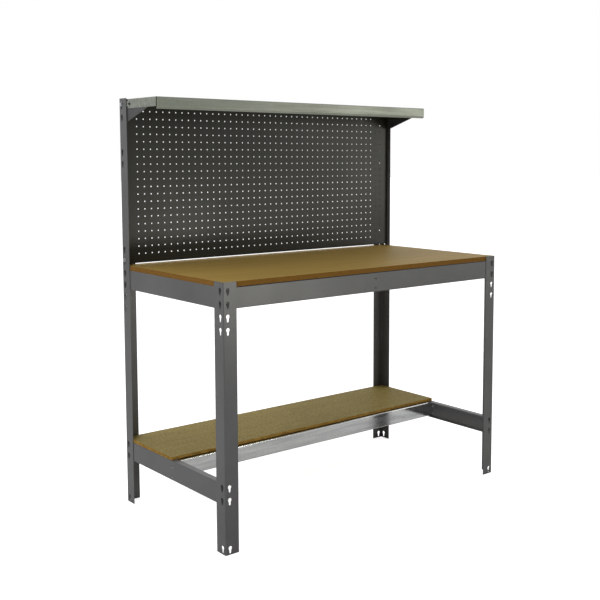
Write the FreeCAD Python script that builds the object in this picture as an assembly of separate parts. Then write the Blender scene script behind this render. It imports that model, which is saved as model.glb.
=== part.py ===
import FreeCAD, Part
import math
import os

V = FreeCAD.Vector

# A steel workbench that hooks together without bolts: four angle uprights with keyholes, beams whose
# rivet studs drop into the keyholes, two loose boards, a perforated back panel and a tray on brackets.
# Millimetres, +X to the right, +Y to the back, +Z up, origin on the floor at the middle of the bench.

# Overall sizes, over the outer faces of the uprights
WIDTH = 1210.0
DEPTH = 620.0
HEIGHT = 1395.0
LEG_HEIGHT = 832.0

# Uprights: an equal angle folded from sheet
ANGLE_FLANGE = 48.0
ANGLE_SHEET = 1.5
ANGLE_BEND = 1.5

# Keyholes in both flanges: a round mouth over a slot that narrows downwards
KEY_MOUTH = 12.6
KEY_NECK = 9.2
KEY_END = 6.6
KEY_DROP = 13.5
KEY_INSET = 16.5
KEY_PITCH = 40.0
KEY_FOOT = 21.0
KEY_TOP = 20.0
KEY_SPARE = 176.0
LEG_SPARE_KEYS = 2

# Beams: a web with an inward flange and lip at the top and a return at the bottom
BEAM_HEIGHT = 66.0
BEAM_SHEET = 1.5
BEAM_FLANGE = 25.0
BEAM_LIP = 7.0
BEAM_RETURN = 12.0
BEAM_BEND = 1.5
BEAM_END_GAP = 4.0
BEAM_SEAT_GAP = 0.2
SHELF_BEAM_TOP = 218.0

# Rivet studs, two at each end of a beam
STUD_SHANK = 7.8
STUD_HEAD = 10.4
STUD_HEAD_TOP = 7.6
STUD_HEAD_HEIGHT = 2.2
STUD_CLEAR = 0.15

# Boards
WORKTOP_BOARD = 16.0
SHELF_BOARD = 10.0
BOARD_CLEAR = 1.0
BOARD_ROUND = 0.8
SHELF_BOARD_SETBACK = 8.0

# Galvanised cross bars, with two tongues at each end in slots at the middle of the beams
BAR_HEIGHT = 56.0
BAR_SHEET = 1.2
BAR_FLANGE = 30.0
BAR_RETURN = 10.0
BAR_BEND = 2.5
BAR_GAP = 1.0
BAR_BELOW = 2.5
TONGUE_WIDTH = 8.0
TONGUE_ROOT = 14.0
TONGUE_RECESS = 0.3
TONGUE_PITCH = 31.0
TONGUE_FIRST = 22.0
SLOT_CLEAR = 0.5
SLOT_HEIGHT = 4.0

# Perforated back panel: thin sheet with its sides folded back and its top and bottom edges hemmed
PANEL_SETBACK = 33.0
PANEL_SHEET = 1.0
PANEL_BEND = 1.0
PANEL_SIDE_RETURN = 27.0
PANEL_HEM = 10.0
PANEL_HEM_GAP = 0.4
PANEL_HEM_RELIEF = 6.0
PANEL_FIT = 0.3
PANEL_GAP = 6.0
PEG_PITCH = 25.4
PEG_HOLE = 4.5
PEG_COLUMNS = 45
PEG_ROWS = 20
PEG_FIRST_ROW = 32.0

# Upper shelf: a galvanised tray turned upside down
TRAY_DROP = 3.5
TRAY_DEPTH = 245.0
TRAY_LIP = 31.0
TRAY_REAR_LIP = 28.0
TRAY_SHEET = 1.0
TRAY_BEND = 1.5
TRAY_RETURN_BACK = 3.0
TRAY_RETURN_DROP = 8.0
TRAY_END_INSET = 1.7
TRAY_END_LAP = 20.0
TRAY_CORNER_GAP = 1.2
TRAY_REAR_FIT = 1.0
TRAY_NOTCH = 13.0
TRAY_NOTCH_GAP = 1.0
TRAY_TONGUE = 8.0
TRAY_SHOULDER = 7.0

# Brackets of the upper shelf: a flat triangle inside the upright's flange, with a flange under the tray
BRACKET_SHEET = 2.0
BRACKET_BEND = 1.0
BRACKET_BELOW = 45.0
BRACKET_FLANGE = 24.0
BRACKET_NOSE = 14.0
BRACKET_FRONT_GAP = 4.0
BRACKET_FIT = 0.3
BRACKET_BOLT_EDGE = 8.0

# Fasteners: flanged hexagon bolts and nuts at the uprights, round-headed screws at the upper shelf
BOLT = 6.0
BOLT_HOLE_CLEAR = 0.6
BOLT_LENGTH = 13.0
HEX_FLATS = 10.0
HEX_HEIGHT = 4.0
WASHER = 14.0
WASHER_SHEET = 1.2
NUT_HEIGHT = 4.5
SCREW = 5.0
SCREW_HEAD = 9.0
SCREW_HEAD_TOP = 6.0
SCREW_HEAD_HEIGHT = 2.6
SCREW_LENGTH = 11.0
SCREW_FLATS = 8.0
SCREW_NUT_HEIGHT = 4.0
TRAY_SCREW_BACK = 18.0
TRAY_SCREW_DOWN = 16.5

# Places worked out from the sizes above
UP = V(0, 0, 1)
RIGHT = V(1, 0, 0)
BACK = V(0, 1, 0)
HALF_WIDTH = WIDTH / 2
HALF_DEPTH = DEPTH / 2
INNER_HALF_WIDTH = HALF_WIDTH - ANGLE_SHEET
INNER_HALF_DEPTH = HALF_DEPTH - ANGLE_SHEET

UPRIGHT_FRONT = HALF_DEPTH - ANGLE_FLANGE

WORKTOP_BEAM_TOP = LEG_HEIGHT - WORKTOP_BOARD
KEY_SLOPE = (KEY_NECK - KEY_END) / 2 / KEY_DROP
STUD_SEAT = ((KEY_NECK - STUD_SHANK) / 2 - STUD_CLEAR) / KEY_SLOPE
STUD_INSET = (BEAM_HEIGHT - KEY_PITCH) / 2

WORKTOP_KEY = WORKTOP_BEAM_TOP - STUD_INSET + STUD_SEAT
SHELF_KEY = SHELF_BEAM_TOP - STUD_INSET + STUD_SEAT
UPPER_KEY = HEIGHT - KEY_TOP
SPARE_KEY = HEIGHT - KEY_SPARE
PANEL_BOLT_Z = WORKTOP_KEY + KEY_PITCH
UPRIGHT_BOLT_Y = HALF_DEPTH - KEY_INSET

PANEL_FRONT = HALF_DEPTH - PANEL_SETBACK
PANEL_BOTTOM = LEG_HEIGHT + PANEL_GAP
TRAY_TOP = HEIGHT - TRAY_DROP
TRAY_UNDER = TRAY_TOP - TRAY_SHEET
TRAY_FRONT = HALF_DEPTH - TRAY_DEPTH
TRAY_HALF = HALF_WIDTH - TRAY_END_INSET
TRAY_LIP_REAR = UPRIGHT_FRONT - TRAY_NOTCH_GAP
TRAY_LIP_BOTTOM = TRAY_TOP - TRAY_LIP
PANEL_TOP = TRAY_UNDER - PANEL_SHEET
PANEL_HALF = INNER_HALF_WIDTH - PANEL_FIT

BRACKET_BOTTOM = TRAY_LIP_BOTTOM - BRACKET_BELOW
BRACKET_TOP = UPPER_KEY + BRACKET_BOLT_EDGE
BRACKET_OUTSIDE = TRAY_HALF - TRAY_SHEET - BRACKET_FIT
BRACKET_INSIDE = BRACKET_OUTSIDE - BRACKET_SHEET
BRACKET_RIVET_Z = UPPER_KEY - KEY_PITCH - STUD_SEAT
TRAY_SCREW_Y = TRAY_LIP_REAR - TRAY_SCREW_BACK
TRAY_SCREW_Z = TRAY_TOP - TRAY_SCREW_DOWN


def box(low, high):
    """Block between two opposite corners, given in any order."""
    start = V(min(low.x, high.x), min(low.y, high.y), min(low.z, high.z))
    end = V(max(low.x, high.x), max(low.y, high.y), max(low.z, high.z))
    size = end - start
    return Part.makeBox(size.x, size.y, size.z, start)


def rod(diameter, start, end):
    """Round bar between two points."""
    return Part.makeCylinder(diameter / 2, (end - start).Length, start, end - start)


def rounded_path(corners, radii, place):
    """Edges along a flat path whose inner corners are rounded by tangent arcs."""
    edges = []
    last = corners[0]
    for before, corner, after, radius in zip(corners, corners[1:], corners[2:], radii):
        back = (before - corner).normalize()
        on = (after - corner).normalize()
        half_angle = back.getAngle(on) / 2
        reach = radius / math.tan(half_angle)
        middle = corner + (back + on).normalize() * (radius / math.sin(half_angle) - radius)
        edges.append(Part.LineSegment(place(last), place(corner + back * reach)).toShape())
        arc = Part.Arc(place(corner + back * reach), place(middle), place(corner + on * reach))
        edges.append(arc.toShape())
        last = corner + on * reach
    edges.append(Part.LineSegment(place(last), place(corners[-1])).toShape())
    return edges


def folded_sheet(path, sheet, bend, place, travel):
    """Sheet folded along a path of its outer face, lying to the right of it, and drawn out by travel."""
    near = [V(u, v, 0) for u, v in path]
    ways = [(b - a).normalize() for a, b in zip(near, near[1:])]
    normals = [V(way.y, -way.x, 0) for way in ways]
    far = [near[0] + normals[0] * sheet]
    near_radii = []
    far_radii = []
    for corner, one, two in zip(near[1:], normals, normals[1:]):
        far.append(corner + (one + two) * (sheet / (1 + one.dot(two))))
        turns_right = one.cross(two).z < 0
        near_radii.append(bend + sheet if turns_right else bend)
        far_radii.append(bend if turns_right else bend + sheet)
    far.append(near[-1] + normals[-1] * sheet)

    edges = rounded_path(near, near_radii, place)
    edges.append(Part.LineSegment(place(near[-1]), place(far[-1])).toShape())
    edges += rounded_path(far[::-1], far_radii[::-1], place)
    edges.append(Part.LineSegment(place(far[0]), place(near[0])).toShape())
    return Part.Face(Part.Wire(edges)).extrude(travel)


def keyhole(mouth_centre, across, through):
    """Cutter of one keyhole: across lies in the flange, through is the way out of it."""
    mouth = KEY_MOUTH / 2
    neck = KEY_NECK / 2
    end = KEY_END / 2
    # The tapered side of the slot leaves the round mouth where both have the same half-width.
    a = 1 + KEY_SLOPE ** 2
    b = -2 * neck * KEY_SLOPE
    c = neck ** 2 - mouth ** 2
    leave = (-b + math.sqrt(b * b - 4 * a * c)) / (2 * a)
    half = neck - KEY_SLOPE * leave

    def at(u, v):
        return mouth_centre - through / 2 + across * u + UP * v

    edges = [
        Part.Arc(at(half, -leave), at(0, mouth), at(-half, -leave)).toShape(),
        Part.LineSegment(at(-half, -leave), at(-end, -KEY_DROP)).toShape(),
        Part.Arc(at(-end, -KEY_DROP), at(0, -KEY_DROP - end), at(end, -KEY_DROP)).toShape(),
        Part.LineSegment(at(end, -KEY_DROP), at(half, -leave)).toShape(),
    ]
    return Part.Face(Part.Wire(edges)).extrude(through)


def upright(side, rear, height, key_heights):
    """Angle upright at one corner: side and rear are -1 or 1."""

    def place(p):
        return V(side * (HALF_WIDTH - p.x), rear * (HALF_DEPTH - p.y), 0)

    path = [(ANGLE_FLANGE, 0), (0, 0), (0, ANGLE_FLANGE)]
    angle = folded_sheet(path, ANGLE_SHEET, ANGLE_BEND, place, UP * height)
    cutters = []
    for z in key_heights:
        wide = V(side * (HALF_WIDTH - KEY_INSET), rear * HALF_DEPTH, z)
        deep = V(side * HALF_WIDTH, rear * (HALF_DEPTH - KEY_INSET), z)
        cutters.append(keyhole(wide, RIGHT, BACK * ANGLE_SHEET * 4))
        cutters.append(keyhole(deep, BACK, RIGHT * ANGLE_SHEET * 4))
    return angle.cut(cutters)


def stud(seat, outward, reach):
    """Rivet stud: seat is the point on the upright's outer face, reach is its length behind that face."""
    root = seat - outward * reach
    under_head = seat + outward * STUD_CLEAR
    shank = rod(STUD_SHANK, root, under_head)
    head = Part.makeCone(STUD_HEAD / 2, STUD_HEAD_TOP / 2, STUD_HEAD_HEIGHT, under_head, outward)
    return shank.fuse(head).removeSplitter()


def beam(outward, half_span, half_reach, top, coped, slotted):
    """Beam on the inside of two uprights, and its studs.

    outward points out of the bench, half_reach is from the middle of the bench to the outer face
    of the uprights on that side, half_span is from the middle of the beam to the uprights' outer corner.
    """
    along = V(abs(outward.y), abs(outward.x), 0)
    half = half_span - ANGLE_SHEET - BEAM_END_GAP
    face = half_reach - ANGLE_SHEET - BEAM_SEAT_GAP
    bottom = top - BEAM_HEIGHT

    def at(inward, travel, z):
        return outward * (face - inward) + along * travel + UP * z

    def place(p):
        return at(p.x, -half, bottom + p.y)

    path = [
        (BEAM_RETURN, 0),
        (0, 0),
        (0, BEAM_HEIGHT),
        (BEAM_FLANGE, BEAM_HEIGHT),
        (BEAM_FLANGE, BEAM_HEIGHT - BEAM_LIP),
    ]
    solid = folded_sheet(path, BEAM_SHEET, BEAM_BEND, place, along * half * 2)

    cutters = []
    studs = []
    flange_end = half_span - ANGLE_SHEET - BEAM_SEAT_GAP - BEAM_FLANGE - BAR_GAP
    for end in (-1, 1):
        if coped:
            low = at(BEAM_SHEET, end * flange_end, bottom - BEAM_SHEET)
            high = at(BEAM_FLANGE + BEAM_SHEET, end * half_span, top + BEAM_SHEET)
            cutters.append(box(low, high))
        for drop in (STUD_INSET, STUD_INSET + KEY_PITCH):
            travel = end * (half_span - KEY_INSET)
            seat = outward * half_reach + along * travel + UP * (top - drop)
            cutters.append(rod(STUD_SHANK, at(-BEAM_SHEET, travel, top - drop),
                               at(BEAM_SHEET * 2, travel, top - drop)))
            studs.append(stud(seat, outward, ANGLE_SHEET + BEAM_SEAT_GAP + BEAM_SHEET))
    if slotted:
        slot_start = -BAR_SHEET / 2 - SLOT_CLEAR
        slot_end = TONGUE_WIDTH - BAR_SHEET / 2 + SLOT_CLEAR
        for drop in (TONGUE_FIRST, TONGUE_FIRST + TONGUE_PITCH):
            cutters.append(box(at(-BEAM_SHEET, slot_start, top - drop - SLOT_HEIGHT / 2),
                               at(BEAM_SHEET * 2, slot_end, top - drop + SLOT_HEIGHT / 2)))
    return solid.cut(cutters), studs


def cross_bar(along, backward, half_reach, beam_top):
    """Galvanised bar between two opposite beams, with two flat tongues at each end.

    The middle of its web runs through the middle of the bench, and its flange points backward.
    """
    web_face = half_reach - ANGLE_SHEET - BEAM_SEAT_GAP
    web_end = web_face - BEAM_SHEET - BAR_GAP
    flange_half = web_face - BEAM_FLANGE - BAR_GAP
    top = beam_top - BAR_BELOW
    bottom = top - BAR_HEIGHT

    def at(inward, travel, z):
        return backward * (inward - BAR_SHEET / 2) + along * travel + UP * z

    def place(p):
        return at(p.x, -web_end, bottom + p.y)

    path = [(BAR_RETURN, 0), (0, 0), (0, BAR_HEIGHT), (BAR_FLANGE, BAR_HEIGHT)]
    solid = folded_sheet(path, BAR_SHEET, BAR_BEND, place, along * web_end * 2)
    clear_of_lip = beam_top - BEAM_LIP - BAR_GAP
    clear_of_return = beam_top - BEAM_HEIGHT + BEAM_SHEET + BAR_GAP
    for end in (-1, 1):
        over = box(at(-BAR_SHEET, end * flange_half, clear_of_lip),
                   at(BAR_FLANGE + BAR_SHEET, end * half_reach, top + BAR_SHEET))
        behind = box(at(BAR_SHEET, end * flange_half, bottom - BAR_SHEET),
                     at(BAR_FLANGE + BAR_SHEET, end * half_reach, top + BAR_SHEET))
        under = box(at(-BAR_SHEET, end * flange_half, bottom - BAR_SHEET),
                    at(BAR_SHEET * 2, end * half_reach, clear_of_return))
        solid = solid.cut([over, behind, under])
        for drop in (TONGUE_FIRST, TONGUE_FIRST + TONGUE_PITCH):
            low = at(0, end * (web_end - TONGUE_ROOT), beam_top - drop - BAR_SHEET / 2)
            high = at(TONGUE_WIDTH, end * (web_face - TONGUE_RECESS), beam_top - drop + BAR_SHEET / 2)
            solid = solid.fuse(box(low, high))
    return solid.removeSplitter()


def board(front, back, bottom, thickness):
    """Board lying between the uprights, with its upper edges eased."""
    half = INNER_HALF_WIDTH - BOARD_CLEAR
    slab = box(V(-half, front, bottom), V(half, back, bottom + thickness))
    top_edges = [e for e in slab.Edges if all(abs(v.Z - bottom - thickness) < 1e-6 for v in e.Vertexes)]
    return slab.makeFillet(BOARD_ROUND, top_edges)


def perforated_panel():
    """Back panel with side returns, hemmed edges, peg holes, fixing holes and slots for the brackets."""
    fold = PANEL_FRONT + PANEL_SHEET + PANEL_BEND
    rear = PANEL_FRONT + PANEL_SIDE_RETURN
    hem_front = PANEL_FRONT + PANEL_SHEET + PANEL_HEM_GAP
    hem_rear = hem_front + PANEL_SHEET
    hem_half = PANEL_HALF - PANEL_HEM_RELIEF
    before = PANEL_FRONT - PANEL_SHEET

    def plan(p):
        return V(p.x, p.y, PANEL_BOTTOM)

    sides = [(PANEL_HALF, rear), (PANEL_HALF, PANEL_FRONT), (-PANEL_HALF, PANEL_FRONT), (-PANEL_HALF, rear)]
    solid = folded_sheet(sides, PANEL_SHEET, PANEL_BEND, plan, UP * (PANEL_TOP - PANEL_BOTTOM))
    for edge, inward in ((PANEL_BOTTOM, 1), (PANEL_TOP, -1)):
        hem = box(V(-hem_half, hem_front, edge), V(hem_half, hem_rear, edge + inward * PANEL_HEM))
        spine = box(V(-hem_half, PANEL_FRONT, edge), V(hem_half, hem_front, edge + inward * PANEL_SHEET))
        solid = solid.fuse([hem, spine])
    solid = solid.removeSplitter()

    cutters = []
    through = BACK * PANEL_SHEET * 2
    for column in range(PEG_COLUMNS):
        for row in range(PEG_ROWS):
            x = (column - (PEG_COLUMNS - 1) / 2) * PEG_PITCH
            z = PANEL_BOTTOM + PEG_FIRST_ROW + row * PEG_PITCH
            start = V(x, PANEL_FRONT - PANEL_SHEET / 2, z)
            cutters.append(rod(PEG_HOLE, start, start + through))
    for side in (-1, 1):
        cutters.append(box(V(side * (BRACKET_INSIDE - BRACKET_FIT), before, BRACKET_BOTTOM - BRACKET_FIT),
                           V(side * HALF_WIDTH, fold, HEIGHT)))
        for z, hole in (
            (PANEL_BOLT_Z, BOLT + BOLT_HOLE_CLEAR),
            (UPPER_KEY, BOLT + BOLT_HOLE_CLEAR),
            (BRACKET_RIVET_Z, STUD_SHANK + BOLT_HOLE_CLEAR),
        ):
            centre = V(side * PANEL_HALF, UPRIGHT_BOLT_Y, z)
            cutters.append(rod(hole, centre - RIGHT * BOLT, centre + RIGHT * BOLT))
    return solid.cut(cutters)


def upper_tray():
    """Upper shelf with four lips folded down and a slanting return on the front lip.

    Its rear corners are notched for the uprights, and each end lip runs out into a tongue for a screw.
    """
    rear = INNER_HALF_DEPTH - TRAY_REAR_FIT
    body_half = TRAY_HALF - TRAY_SHEET - TRAY_BEND
    lip_front = TRAY_FRONT + TRAY_SHEET + TRAY_CORNER_GAP
    front_flat = TRAY_FRONT + TRAY_SHEET + TRAY_BEND
    tongue_start = TRAY_LIP_REAR - TRAY_TONGUE

    def section(p):
        return V(-body_half, p.x, p.y)

    path = [
        (TRAY_FRONT + TRAY_RETURN_BACK, TRAY_LIP_BOTTOM - TRAY_RETURN_DROP),
        (TRAY_FRONT, TRAY_LIP_BOTTOM),
        (TRAY_FRONT, TRAY_TOP),
        (rear, TRAY_TOP),
        (rear, TRAY_TOP - TRAY_REAR_LIP),
    ]
    solid = folded_sheet(path, TRAY_SHEET, TRAY_BEND, section, RIGHT * body_half * 2)
    for side in (-1, 1):
        def end_section(p):
            return V(side * p.x, front_flat, p.y)

        notch = box(V(side * (TRAY_HALF - TRAY_NOTCH), TRAY_LIP_REAR, 0),
                    V(side * HALF_WIDTH, HALF_DEPTH, HEIGHT))
        end = [(TRAY_HALF - TRAY_END_LAP, TRAY_TOP), (TRAY_HALF, TRAY_TOP), (TRAY_HALF, TRAY_LIP_BOTTOM)]
        lip = folded_sheet(end, TRAY_SHEET, TRAY_BEND, end_section, BACK * (TRAY_LIP_REAR - front_flat))
        cheek = box(V(side * (TRAY_HALF - TRAY_SHEET), lip_front, TRAY_LIP_BOTTOM),
                    V(side * TRAY_HALF, front_flat, TRAY_TOP - TRAY_SHEET - TRAY_BEND))
        upper_shoulder = box(V(side * body_half, tongue_start, TRAY_TOP - TRAY_SHOULDER),
                             V(side * HALF_WIDTH, HALF_DEPTH, HEIGHT))
        lower_shoulder = box(V(side * body_half, tongue_start, 0),
                             V(side * HALF_WIDTH, HALF_DEPTH, TRAY_LIP_BOTTOM + TRAY_SHOULDER))
        centre = V(side * TRAY_HALF, TRAY_SCREW_Y, TRAY_SCREW_Z)
        hole = rod(SCREW + BOLT_HOLE_CLEAR, centre - RIGHT * SCREW, centre + RIGHT * SCREW)
        solid = solid.fuse([lip, cheek]).cut([notch, upper_shoulder, lower_shoulder, hole])
    return solid.removeSplitter()


def shelf_bracket(side):
    """Triangular plate against the upright, with a flange on top under the tray."""
    front = TRAY_FRONT + BRACKET_FRONT_GAP
    rear = HALF_DEPTH - ANGLE_SHEET - ANGLE_BEND - BRACKET_FIT
    nose_bottom = TRAY_UNDER - BRACKET_NOSE
    flat_top = TRAY_UNDER - BRACKET_SHEET - BRACKET_BEND

    def section(p):
        return V(side * p.x, front, p.y)

    outline = [
        (rear, BRACKET_BOTTOM),
        (rear, BRACKET_TOP),
        (TRAY_LIP_REAR, BRACKET_TOP),
        (TRAY_LIP_REAR, flat_top),
        (front, flat_top),
        (front, nose_bottom),
        (UPRIGHT_FRONT, BRACKET_BOTTOM),
        (rear, BRACKET_BOTTOM),
    ]
    wire = Part.makePolygon([V(side * BRACKET_INSIDE, y, z) for y, z in outline])
    plate = Part.Face(wire).extrude(RIGHT * side * BRACKET_SHEET)
    fold = [(BRACKET_OUTSIDE - BRACKET_FLANGE, TRAY_UNDER), (BRACKET_OUTSIDE, TRAY_UNDER),
            (BRACKET_OUTSIDE, nose_bottom)]
    flange = folded_sheet(fold, BRACKET_SHEET, BRACKET_BEND, section, BACK * (TRAY_LIP_REAR - front))
    solid = plate.fuse(flange).removeSplitter()

    bolt = V(side * BRACKET_OUTSIDE, UPRIGHT_BOLT_Y, UPPER_KEY)
    rivet = V(side * BRACKET_OUTSIDE, UPRIGHT_BOLT_Y, BRACKET_RIVET_Z)
    tray_screw = V(side * BRACKET_OUTSIDE, TRAY_SCREW_Y, TRAY_SCREW_Z)
    return solid.cut([
        rod(BOLT + BOLT_HOLE_CLEAR, bolt - RIGHT * BOLT, bolt + RIGHT * BOLT),
        rod(STUD_SHANK, rivet - RIGHT * BOLT, rivet + RIGHT * BOLT),
        rod(SCREW + BOLT_HOLE_CLEAR, tray_screw - RIGHT * SCREW, tray_screw + RIGHT * SCREW),
    ])


def hexagon(flats, height, start, axis):
    """Hexagonal prism along an axis."""
    first = axis.cross(UP).normalize()
    corner_radius = flats / math.sqrt(3)
    turns = [math.radians(60 * i) for i in range(7)]
    points = [start + (first * math.cos(t) + UP * math.sin(t)) * corner_radius for t in turns]
    return Part.Face(Part.makePolygon(points)).extrude(axis * height)


def hex_bolt(seat, outward):
    """Flanged hexagon bolt with its flange on the outer face at seat."""
    washer = rod(WASHER, seat, seat + outward * WASHER_SHEET)
    head = hexagon(HEX_FLATS, HEX_HEIGHT, seat + outward * WASHER_SHEET, outward)
    shank = rod(BOLT, seat - outward * BOLT_LENGTH, seat)
    return washer.fuse([head, shank])


def hex_nut(seat, inward, thread, flats, height):
    """Nut whose bearing face is at seat."""
    return hexagon(flats, height, seat, inward).cut(rod(thread, seat, seat + inward * height))


def screw(seat, outward):
    """Round-headed screw with its head on the face at seat."""
    head = Part.makeCone(SCREW_HEAD / 2, SCREW_HEAD_TOP / 2, SCREW_HEAD_HEIGHT, seat, outward)
    return head.fuse(rod(SCREW, seat - outward * SCREW_LENGTH, seat))


def write(name, *solids):
    """One file per sub-part: a single solid, or a group of identical ones."""
    shape = solids[0] if len(solids) == 1 else Part.makeCompound(list(solids))
    assert shape.isValid(), name
    assert len(shape.Solids) == len(solids), name
    shape.exportStep(os.path.join("parts", name + ".step"))


os.makedirs("parts", exist_ok=True)

# Uprights, with keyholes for every beam and a few spare ones
leg_keys = [WORKTOP_KEY - i * KEY_PITCH for i in range(2 + LEG_SPARE_KEYS)]
leg_keys += [SHELF_KEY, SHELF_KEY - KEY_PITCH, KEY_FOOT]
post_keys = [UPPER_KEY, UPPER_KEY - KEY_PITCH, SPARE_KEY, SPARE_KEY - KEY_PITCH]
post_keys += [WORKTOP_KEY + KEY_PITCH * 2, PANEL_BOLT_Z] + leg_keys
for hand, sign in (("left", -1), ("right", 1)):
    write("front_%s_upright" % hand, upright(sign, -1, LEG_HEIGHT, leg_keys))
    write("rear_%s_upright" % hand, upright(sign, 1, HEIGHT, post_keys))

# Beams and their studs: name, outward way, half span, half reach, coped, slotted
worktop_beams = [
    ("worktop_front_beam", -BACK, HALF_WIDTH, HALF_DEPTH, True, True),
    ("worktop_rear_beam", BACK, HALF_WIDTH, HALF_DEPTH, True, True),
    ("worktop_left_beam", -RIGHT, HALF_DEPTH, HALF_WIDTH, False, False),
    ("worktop_right_beam", RIGHT, HALF_DEPTH, HALF_WIDTH, False, False),
]
shelf_beams = [
    ("shelf_rear_beam", BACK, HALF_WIDTH, HALF_DEPTH, True, False),
    ("shelf_left_beam", -RIGHT, HALF_DEPTH, HALF_WIDTH, False, True),
    ("shelf_right_beam", RIGHT, HALF_DEPTH, HALF_WIDTH, False, True),
]
for group, beams, beam_top in (
    ("worktop_beam_studs", worktop_beams, WORKTOP_BEAM_TOP),
    ("shelf_beam_studs", shelf_beams, SHELF_BEAM_TOP),
):
    group_studs = []
    for name, outward, half_span, half_reach, coped, slotted in beams:
        solid, studs = beam(outward, half_span, half_reach, beam_top, coped, slotted)
        write(name, solid)
        group_studs += studs
    write(group, *group_studs)

# Cross bars under the worktop, front to back, and under the lower shelf's front edge, left to right
write("worktop_cross_bar", cross_bar(BACK, RIGHT, HALF_DEPTH, WORKTOP_BEAM_TOP))
write("shelf_cross_bar", cross_bar(RIGHT, BACK, HALF_WIDTH, SHELF_BEAM_TOP))

# Boards
board_back = INNER_HALF_DEPTH - BOARD_CLEAR
shelf_front = -BAR_SHEET / 2 + SHELF_BOARD_SETBACK
write("worktop_board", board(-board_back, board_back, WORKTOP_BEAM_TOP, WORKTOP_BOARD))
write("shelf_board", board(shelf_front, board_back, SHELF_BEAM_TOP, SHELF_BOARD))

# Back panel, upper shelf and its brackets
write("pegboard_panel", perforated_panel())
write("upper_shelf", upper_tray())
for hand, sign in (("left", -1), ("right", 1)):
    write("%s_shelf_bracket" % hand, shelf_bracket(sign))

# Fasteners, each kind a group
bracket_studs = []
upright_bolts = []
upright_nuts = []
tray_screws = []
tray_nuts = []
for sign in (-1, 1):
    out = RIGHT * sign
    stud_seat = V(sign * HALF_WIDTH, UPRIGHT_BOLT_Y, BRACKET_RIVET_Z)
    bracket_studs.append(stud(stud_seat, out, HALF_WIDTH - BRACKET_INSIDE))
    for z, inside in ((UPPER_KEY, BRACKET_INSIDE), (PANEL_BOLT_Z, PANEL_HALF - PANEL_SHEET)):
        upright_bolts.append(hex_bolt(V(sign * HALF_WIDTH, UPRIGHT_BOLT_Y, z), out))
        nut_seat = V(sign * inside, UPRIGHT_BOLT_Y, z)
        upright_nuts.append(hex_nut(nut_seat, -out, BOLT, HEX_FLATS, NUT_HEIGHT))
    tray_screws.append(screw(V(sign * TRAY_HALF, TRAY_SCREW_Y, TRAY_SCREW_Z), out))
    tray_nut = V(sign * BRACKET_INSIDE, TRAY_SCREW_Y, TRAY_SCREW_Z)
    tray_nuts.append(hex_nut(tray_nut, -out, SCREW, SCREW_FLATS, SCREW_NUT_HEIGHT))
write("bracket_studs", *bracket_studs)
write("upright_bolts", *upright_bolts)
write("upright_nuts", *upright_nuts)
write("upper_shelf_screws", *tray_screws)
write("upper_shelf_nuts", *tray_nuts)
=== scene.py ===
import math

import bpy
from mathutils import Matrix, Vector

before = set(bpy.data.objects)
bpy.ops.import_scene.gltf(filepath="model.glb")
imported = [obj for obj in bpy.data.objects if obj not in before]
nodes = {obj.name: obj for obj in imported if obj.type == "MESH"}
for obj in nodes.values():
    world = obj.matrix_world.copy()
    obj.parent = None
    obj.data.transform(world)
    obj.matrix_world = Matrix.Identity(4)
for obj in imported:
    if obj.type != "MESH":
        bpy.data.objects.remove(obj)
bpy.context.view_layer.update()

# Places on the bench, in metres from the middle of the bench or from the floor
FLANGE_END_X = 0.557
FLANGE_END_Y = 0.262
BEAM_FACE_X = 0.603
BEAM_FACE_Y = 0.308
BAR_TIP_X = 0.601
BAR_TIP_Y = 0.306
BEAM_BEND_Z = 0.8132
BEAM_FRONT_Y = -0.3

# Camera: place in metres, angles in radians, sensor in millimetres
CAMERA_PLACE = (-2.1495, -2.6633, 1.1974)
CAMERA_YAW = 0.698
CAMERA_PITCH = -0.096
SENSOR = 36.0

# The photo's side, focal length and optical centre, in its pixels
PICTURE = 600
FOCAL_LENGTH = 960.4
OPTICAL_CENTRE = (335, 250)

# Surroundings
FLOOR_REACH = 40.0
FLOOR_GLOW = 0.8
BACKDROP_WAY = (0.66, 0.75, 0.0)
BACKDROP_SOFTNESS = 0.6
ROOM_LIGHT = 0.15
BACKDROP_LIGHT = 0.95


# Finishes

# Values between which most of a noise pattern lies
NOISE_SPREAD = (0.3, 0.7)


def srgb(red, green, blue):
    """Linear colour of an 8-bit one."""
    linear = [((c / 255 + 0.055) / 1.055) ** 2.4 if c > 10 else c / 255 / 12.92 for c in (red, green, blue)]
    return (*linear, 1.0)


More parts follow.
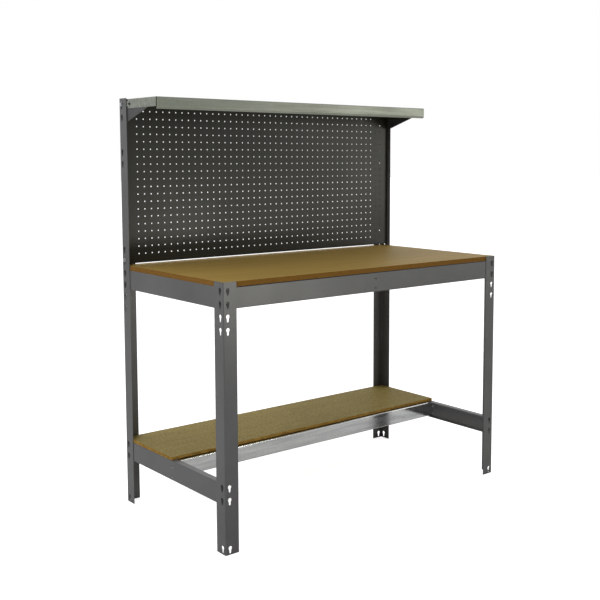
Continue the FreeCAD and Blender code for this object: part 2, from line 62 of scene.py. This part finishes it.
class Finish:
    """A node material, textured in the metres of the shared frame."""

    def __init__(self, name, metallic=0.0, specular=0.5):
        self.material = bpy.data.materials.new(name)
        self.material.use_nodes = True
        self.tree = self.material.node_tree
        self.shader = self.tree.nodes["Principled BSDF"]
        self.shader.inputs["Metallic"].default_value = metallic
        self.shader.inputs["Specular IOR Level"].default_value = specular
        self.place = self.node("ShaderNodeTexCoord").outputs["Object"]

    def node(self, kind, settings=(), **inputs):
        """A new node; inputs are values or other nodes' outputs, by socket name with _ for a space."""
        made = self.tree.nodes.new(kind)
        for key, value in dict(settings).items():
            setattr(made, key, value)
        for key, value in inputs.items():
            self.feed(made.inputs[key.replace("_", " ")], value)
        return made

    def feed(self, socket, value):
        if isinstance(value, bpy.types.NodeSocket):
            self.tree.links.new(value, socket)
        else:
            socket.default_value = value

    def noise(self, scale, detail=4.0, stretch=(1, 1, 1), rough=0.5):
        place = self.node("ShaderNodeMapping", Vector=self.place, Scale=stretch).outputs["Vector"]
        made = self.node("ShaderNodeTexNoise", Vector=place, Scale=scale, Detail=detail, Roughness=rough)
        return made.outputs["Fac"]

    def patches(self, scale, detail=4.0, stretch=(1, 1, 1), rough=0.5):
        """Soft patches from 0 to 1, whose size is about 1 / scale metres."""
        return self.span(self.noise(scale, detail, stretch, rough), *NOISE_SPREAD)

    def cells(self, scale, stretch=(1, 1, 1)):
        """A grey value for each cell of an irregular pattern."""
        place = self.node("ShaderNodeMapping", Vector=self.place, Scale=stretch).outputs["Vector"]
        cell = self.node("ShaderNodeTexVoronoi", Vector=place, Scale=scale).outputs["Color"]
        return self.node("ShaderNodeSeparateColor", Color=cell).outputs["Red"]

    def span(self, value, low, high, to_low=0.0, to_high=1.0):
        settings = {"interpolation_type": "SMOOTHSTEP"}
        limits = {"From_Min": low, "From_Max": high, "To_Min": to_low, "To_Max": to_high}
        return self.node("ShaderNodeMapRange", settings, Value=value, **limits).outputs["Result"]

    def mix(self, share, first, second):
        made = self.node("ShaderNodeMix", {"data_type": "RGBA"})
        for index, value in ((0, share), (6, first), (7, second)):
            self.feed(made.inputs[index], value)
        return made.outputs[2]

    def math(self, operation, first, second):
        made = self.node("ShaderNodeMath", {"operation": operation})
        self.feed(made.inputs[0], first)
        self.feed(made.inputs[1], second)
        return made.outputs[0]

    def above(self, value, limit):
        return self.math("GREATER_THAN", value, limit)

    def distances(self):
        """How far a point is from the middle of the bench, to the side and to the front or back."""
        place = self.node("ShaderNodeSeparateXYZ", Vector=self.place).outputs
        return [self.math("ABSOLUTE", place[axis], 0.0) for axis in "XY"]

    def total(self, first, first_share, second, second_share):
        """The sum of two values, each taken by its share."""
        first_part = self.math("MULTIPLY", first, first_share)
        return self.math("ADD", first_part, self.math("MULTIPLY", second, second_share))

    def finish(self, colour, roughness, height, depth, strength=1.0):
        bump = self.node("ShaderNodeBump", Height=height, Distance=depth, Strength=strength)
        self.feed(self.shader.inputs["Base Color"], colour)
        self.feed(self.shader.inputs["Roughness"], roughness)
        self.feed(self.shader.inputs["Normal"], bump.outputs["Normal"])
        return self.material


def behind_keyholes(paint):
    """Painted shade: 1 on the beams' outer faces where they lie behind the uprights' flanges, in the four
    corners, so that the keyhole mouths look dark.
    """
    wide, deep = paint.distances()
    corner = paint.math("MULTIPLY", paint.above(wide, FLANGE_END_X), paint.above(deep, FLANGE_END_Y))
    outside = paint.math("MAXIMUM", paint.above(wide, BEAM_FACE_X), paint.above(deep, BEAM_FACE_Y))
    return paint.math("MULTIPLY", corner, outside)


def under_worktop(paint):
    """Painted shade: 1 on the bend along the front beam's upper edge, in the joint under the worktop board,
    where the board shades it.
    """
    place = paint.node("ShaderNodeSeparateXYZ", Vector=paint.place).outputs
    high = paint.above(place["Z"], BEAM_BEND_Z)
    return paint.math("MULTIPLY", high, paint.math("LESS_THAN", place["Y"], BEAM_FRONT_Y))


def painted_steel(name, dark, light, roughness, painted_shade=None, sheen=0.5):
    """Satin powder coat: faint clouds in the colour, an orange-peel surface and slightly duller patches.
    Optionally painted shade in a given dark colour on the beams behind the keyholes and along the bend under
    the worktop.
    """
    paint = Finish(name, specular=sheen)
    clouds = paint.patches(scale=5.0, detail=3.0)
    grain = paint.patches(scale=600.0, detail=2.0)
    colour = paint.mix(clouds, dark, light)
    colour = paint.mix(paint.math("MULTIPLY", grain, 0.12), colour, light)
    # Painted shade on the beams behind the keyholes and along the bend under the worktop
    if painted_shade:
        shade_mask = paint.math("MAXIMUM", behind_keyholes(paint), under_worktop(paint))
        colour = paint.mix(shade_mask, colour, painted_shade)
    gloss = paint.noise(scale=4.0, detail=2.0)
    dull = paint.span(gloss, *NOISE_SPREAD, to_low=roughness - 0.02, to_high=roughness + 0.03)
    return paint.finish(colour, dull, paint.noise(scale=500.0, detail=2.0), depth=0.00003, strength=0.3)


def in_slots(zinc):
    """Painted shade: 1 on the tips of the cross bars' tongues, where they sit in the slots of the beams."""
    wide, deep = zinc.distances()
    return zinc.math("MAXIMUM", zinc.above(wide, BAR_TIP_X), zinc.above(deep, BAR_TIP_Y))


def galvanised_steel(name, dark, light, roughness, streak, metallic, painted_shade=None):
    """Zinc-coated sheet: flat crystals, rolling streaks along the given way and small stains. Optionally
    painted shade in a given dark colour on the tongue tips in the beams' slots.
    """
    zinc = Finish(name, metallic=metallic)
    crystals = zinc.cells(scale=160.0)
    streaks = zinc.patches(scale=60.0, detail=5.0, stretch=streak, rough=0.6)
    stains = zinc.span(zinc.noise(scale=7.0), 0.35, 0.75)
    share = zinc.total(crystals, 0.2, streaks, 0.8)
    colour = zinc.mix(share, dark, light)
    colour = zinc.mix(zinc.math("MULTIPLY", stains, 0.3), colour, dark)
    # Painted shade on the tongue tips in the slots
    if painted_shade:
        colour = zinc.mix(in_slots(zinc), colour, painted_shade)
    rough = zinc.span(share, 0.0, 1.0, to_low=roughness + 0.05, to_high=roughness - 0.05)
    return zinc.finish(colour, rough, share, depth=0.00004, strength=0.12)


def fibreboard(name, sheen, top, edge, chip_scale, fleck_scale, fleck_share, fleck_colour):
    """Pressed board: a smooth mottled face and sawn, chipped edges. Top and edge are two tones each."""
    board = Finish(name, specular=sheen)
    clouds = board.patches(scale=4.0, stretch=(0.5, 1, 1))
    fleck = board.span(board.noise(fleck_scale, detail=3.0, rough=0.65), 0.38, 0.66)
    streaks = board.patches(scale=45.0, stretch=(0.1, 1, 1), rough=0.6)
    face = board.mix(board.total(clouds, 0.5, streaks, 0.5), *top)
    face = board.mix(board.math("MULTIPLY", fleck, fleck_share), face, fleck_colour)
    chips = board.cells(chip_scale, stretch=(0.45, 0.45, 1.4))
    fibres = board.patches(scale=900.0, rough=0.7)
    sawn = board.mix(board.total(chips, 0.5, fibres, 0.5), *edge)
    normal = board.node("ShaderNodeTexCoord").outputs["Normal"]
    level = board.node("ShaderNodeSeparateXYZ", Vector=normal).outputs["Z"]
    flat = board.span(board.math("ABSOLUTE", level, 0.0), 0.55, 0.8)
    rough = board.span(flat, 0.0, 1.0, to_low=0.85, to_high=0.55)
    height = board.total(fleck, 0.15, fibres, 0.5)
    return board.finish(board.mix(flat, sawn, face), rough, height, depth=0.0002, strength=0.6)


def plated(name, dark, light, roughness, metallic=1.0):
    """Plated fastener: slight blotches in colour and gloss."""
    plate = Finish(name, metallic=metallic)
    blotch = plate.patches(scale=260.0)
    colour = plate.mix(blotch, dark, light)
    rough = plate.span(blotch, 0.0, 1.0, to_low=roughness + 0.08, to_high=roughness - 0.05)
    return plate.finish(colour, rough, plate.noise(scale=1500.0, detail=3.0), depth=0.00005)


# Colours, each as a darker and a lighter tone
FRAME_GREY = (srgb(82, 82, 82), srgb(91, 91, 90))
PANEL_GREY = (srgb(28, 28, 20), srgb(35, 35, 26))
BRACKET_GREY = (srgb(56, 56, 57), srgb(65, 65, 65))
STUD_GREY = (srgb(26, 26, 26), srgb(38, 37, 36))
BAR_SILVER = (srgb(184, 186, 186), srgb(224, 225, 224))
TRAY_SILVER = (srgb(135, 139, 128), srgb(156, 160, 149))
WORKTOP_TAN = (srgb(168, 138, 69), srgb(187, 155, 82))
WORKTOP_EDGE = (srgb(106, 71, 22), srgb(138, 100, 40))
SHELF_OLIVE = (srgb(159, 142, 83), srgb(178, 161, 97))
SHELF_EDGE = (srgb(104, 76, 30), srgb(186, 146, 72))
BOLT_SILVER = (srgb(170, 172, 172), srgb(222, 224, 224))
SCREW_BLACK = (srgb(16, 16, 17), srgb(34, 34, 35))
WORKTOP_FLECK = srgb(151, 120, 60)
SHELF_FLECK = srgb(110, 94, 48)
# Painted shade: near-black for the beams behind the keyholes and under the worktop, and for the bars' tongue
# tips in the slots
BEAM_SHADE = srgb(12, 12, 12)
SLOT_SHADE = srgb(20, 20, 20)

# Rolling streaks run along the sheet
ALONG_X = (0.06, 1.0, 1.0)
ALONG_Y = (1.0, 0.06, 1.0)
ALONG_TRAY = (0.05, 1.0, 1.0)

FRAME_PAINT = painted_steel("frame_paint", *FRAME_GREY, roughness=0.31)
# The beams carry painted shade behind the keyholes and along the bend under the worktop
BEAM_PAINT = painted_steel("beam_paint", *FRAME_GREY, roughness=0.31, painted_shade=BEAM_SHADE)
PANEL_PAINT = painted_steel("panel_paint", *PANEL_GREY, roughness=0.31, sheen=0.42)
BRACKET_PAINT = painted_steel("bracket_paint", *BRACKET_GREY, roughness=0.4)
STUD_PAINT = painted_steel("stud_paint", *STUD_GREY, roughness=0.45)
# The cross bars carry painted shade on their tongue tips in the slots
BAR_ZINC = galvanised_steel(
    "bar_zinc", *BAR_SILVER, roughness=0.16, streak=ALONG_X, metallic=1.0, painted_shade=SLOT_SHADE
)
BEARER_ZINC = galvanised_steel(
    "bearer_zinc", *BAR_SILVER, roughness=0.16, streak=ALONG_Y, metallic=1.0, painted_shade=SLOT_SHADE
)
TRAY_ZINC = galvanised_steel("tray_zinc", *TRAY_SILVER, roughness=0.36, streak=ALONG_TRAY, metallic=0.85)
WORKTOP = fibreboard(
    "worktop_fibreboard",
    sheen=0.17,
    top=WORKTOP_TAN,
    edge=WORKTOP_EDGE,
    chip_scale=500.0,
    fleck_scale=420.0,
    fleck_share=0.2,
    fleck_colour=WORKTOP_FLECK,
)
SHELF = fibreboard(
    "shelf_fibreboard",
    sheen=0.06,
    top=SHELF_OLIVE,
    edge=SHELF_EDGE,
    chip_scale=170.0,
    fleck_scale=150.0,
    fleck_share=0.6,
    fleck_colour=SHELF_FLECK,
)
BOLT_ZINC = plated("bolt_zinc", *BOLT_SILVER, roughness=0.34)
BLACK_OXIDE = plated("black_oxide", *SCREW_BLACK, roughness=0.42, metallic=0.6)

finishes = {
    "front_left_upright": FRAME_PAINT,
    "front_right_upright": FRAME_PAINT,
    "rear_left_upright": FRAME_PAINT,
    "rear_right_upright": FRAME_PAINT,
    "worktop_front_beam": BEAM_PAINT,
    "worktop_rear_beam": BEAM_PAINT,
    "worktop_left_beam": BEAM_PAINT,
    "worktop_right_beam": BEAM_PAINT,
    "shelf_rear_beam": BEAM_PAINT,
    "shelf_left_beam": BEAM_PAINT,
    "shelf_right_beam": BEAM_PAINT,
    "worktop_beam_studs": STUD_PAINT,
    "shelf_beam_studs": STUD_PAINT,
    "bracket_studs": STUD_PAINT,
    "worktop_cross_bar": BEARER_ZINC,
    "shelf_cross_bar": BAR_ZINC,
    "upper_shelf": TRAY_ZINC,
    "worktop_board": WORKTOP,
    "shelf_board": SHELF,
    "pegboard_panel": PANEL_PAINT,
    "left_shelf_bracket": BRACKET_PAINT,
    "right_shelf_bracket": BRACKET_PAINT,
    "upright_bolts": BOLT_ZINC,
    "upright_nuts": BOLT_ZINC,
    "upper_shelf_screws": BLACK_OXIDE,
    "upper_shelf_nuts": BLACK_OXIDE,
}
for name, finish in finishes.items():
    nodes[name].data.materials.clear()
    nodes[name].data.materials.append(finish)


# Floor, light and camera


def stage_floor():
    """Pale floor, bright enough to run into the white background."""
    mesh = bpy.data.meshes.new("floor")
    signs = [(-1, -1), (1, -1), (1, 1), (-1, 1)]
    mesh.from_pydata([(x * FLOOR_REACH, y * FLOOR_REACH, 0) for x, y in signs], [], [(0, 1, 2, 3)])
    floor = bpy.data.objects.new("floor", mesh)
    bpy.context.scene.collection.objects.link(floor)
    pale = Finish("pale_floor", specular=0.1)
    tint = pale.mix(pale.noise(scale=3.0, detail=3.0), srgb(246, 246, 246), srgb(251, 251, 251))
    pale.shader.inputs["Roughness"].default_value = 0.9
    pale.shader.inputs["Emission Color"].default_value = (1, 1, 1, 1)
    seen = pale.node("ShaderNodeLightPath").outputs["Is Camera Ray"]
    glow = pale.span(seen, 0.0, 1.0, to_low=0.0, to_high=FLOOR_GLOW)
    pale.feed(pale.shader.inputs["Emission Strength"], glow)
    pale.feed(pale.shader.inputs["Base Color"], tint)
    mesh.materials.append(pale.material)


def softbox(name, place, aim, size, power, colour):
    """Rectangular lamp at a place, turned to its aim; metres and watts."""
    light = bpy.data.lights.new(name, "AREA")
    light.color = colour
    light.shape = "RECTANGLE"
    light.size, light.size_y = size
    light.energy = power
    lamp = bpy.data.objects.new(name, light)
    way = Vector(aim) - Vector(place)
    lamp.matrix_world = Matrix.Translation(place) @ way.to_track_quat("-Z", "Y").to_matrix().to_4x4()
    bpy.context.scene.collection.objects.link(lamp)


def white_world():
    """White to look at on every side; as light, a bright backdrop behind the bench and a dimmer room."""
    world = bpy.data.worlds.new("studio")
    world.use_nodes = True
    tree = world.node_tree
    way = tree.nodes.new("ShaderNodeTexCoord").outputs["Generated"]
    behind = tree.nodes.new("ShaderNodeVectorMath")
    behind.operation = "DOT_PRODUCT"
    behind.inputs[1].default_value = BACKDROP_WAY
    tree.links.new(way, behind.inputs[0])
    room = tree.nodes.new("ShaderNodeMapRange")
    room.interpolation_type = "SMOOTHSTEP"
    room.inputs["From Min"].default_value = -BACKDROP_SOFTNESS
    room.inputs["From Max"].default_value = BACKDROP_SOFTNESS
    room.inputs["To Min"].default_value = ROOM_LIGHT
    room.inputs["To Max"].default_value = BACKDROP_LIGHT
    tree.links.new(behind.outputs["Value"], room.inputs["Value"])
    seen = tree.nodes.new("ShaderNodeMapRange")
    tree.links.new(tree.nodes.new("ShaderNodeLightPath").outputs["Is Camera Ray"], seen.inputs["Value"])
    tree.links.new(room.outputs["Result"], seen.inputs["To Min"])
    back = tree.nodes["Background"]
    back.inputs["Color"].default_value = (1, 1, 1, 1)
    tree.links.new(seen.outputs["Result"], back.inputs["Strength"])
    bpy.context.scene.world = world


def photo_camera():
    """Camera of the photo, whose optical axis meets the picture away from its middle."""
    camera = bpy.data.cameras.new("camera")
    camera.sensor_width = SENSOR
    camera.lens = FOCAL_LENGTH / PICTURE * SENSOR
    camera.shift_x = (PICTURE / 2 - OPTICAL_CENTRE[0]) / PICTURE
    camera.shift_y = (OPTICAL_CENTRE[1] - PICTURE / 2) / PICTURE
    eye = bpy.data.objects.new("camera", camera)
    level = math.cos(CAMERA_PITCH)
    ahead = Vector((math.sin(CAMERA_YAW) * level, math.cos(CAMERA_YAW) * level, math.sin(CAMERA_PITCH)))
    eye.matrix_world = Matrix.Translation(CAMERA_PLACE) @ ahead.to_track_quat("-Z", "Y").to_matrix().to_4x4()
    bpy.context.scene.collection.objects.link(eye)
    bpy.context.scene.camera = eye


stage_floor()
white_world()
softbox(
    "key", place=(-3.5, -1.4, 2.6), aim=(0, 0, 0.75), size=(1.8, 1.8), power=68, colour=(0.95, 0.96, 1.0)
)
softbox(
    "low_card",
    place=(2.5, -4.7, 0.22),
    aim=(-0.4, 0, 0.7),
    size=(0.9, 0.4),
    power=17,
    colour=(1.0, 0.99, 0.88),
)
softbox(
    "right_card", place=(4.2, -3.6, 1.3), aim=(0, 0, 0.9), size=(1.8, 1.8), power=18, colour=(1.0, 0.99, 0.9)
)
photo_camera()
bpy.context.scene.view_settings.view_transform = "Standard"
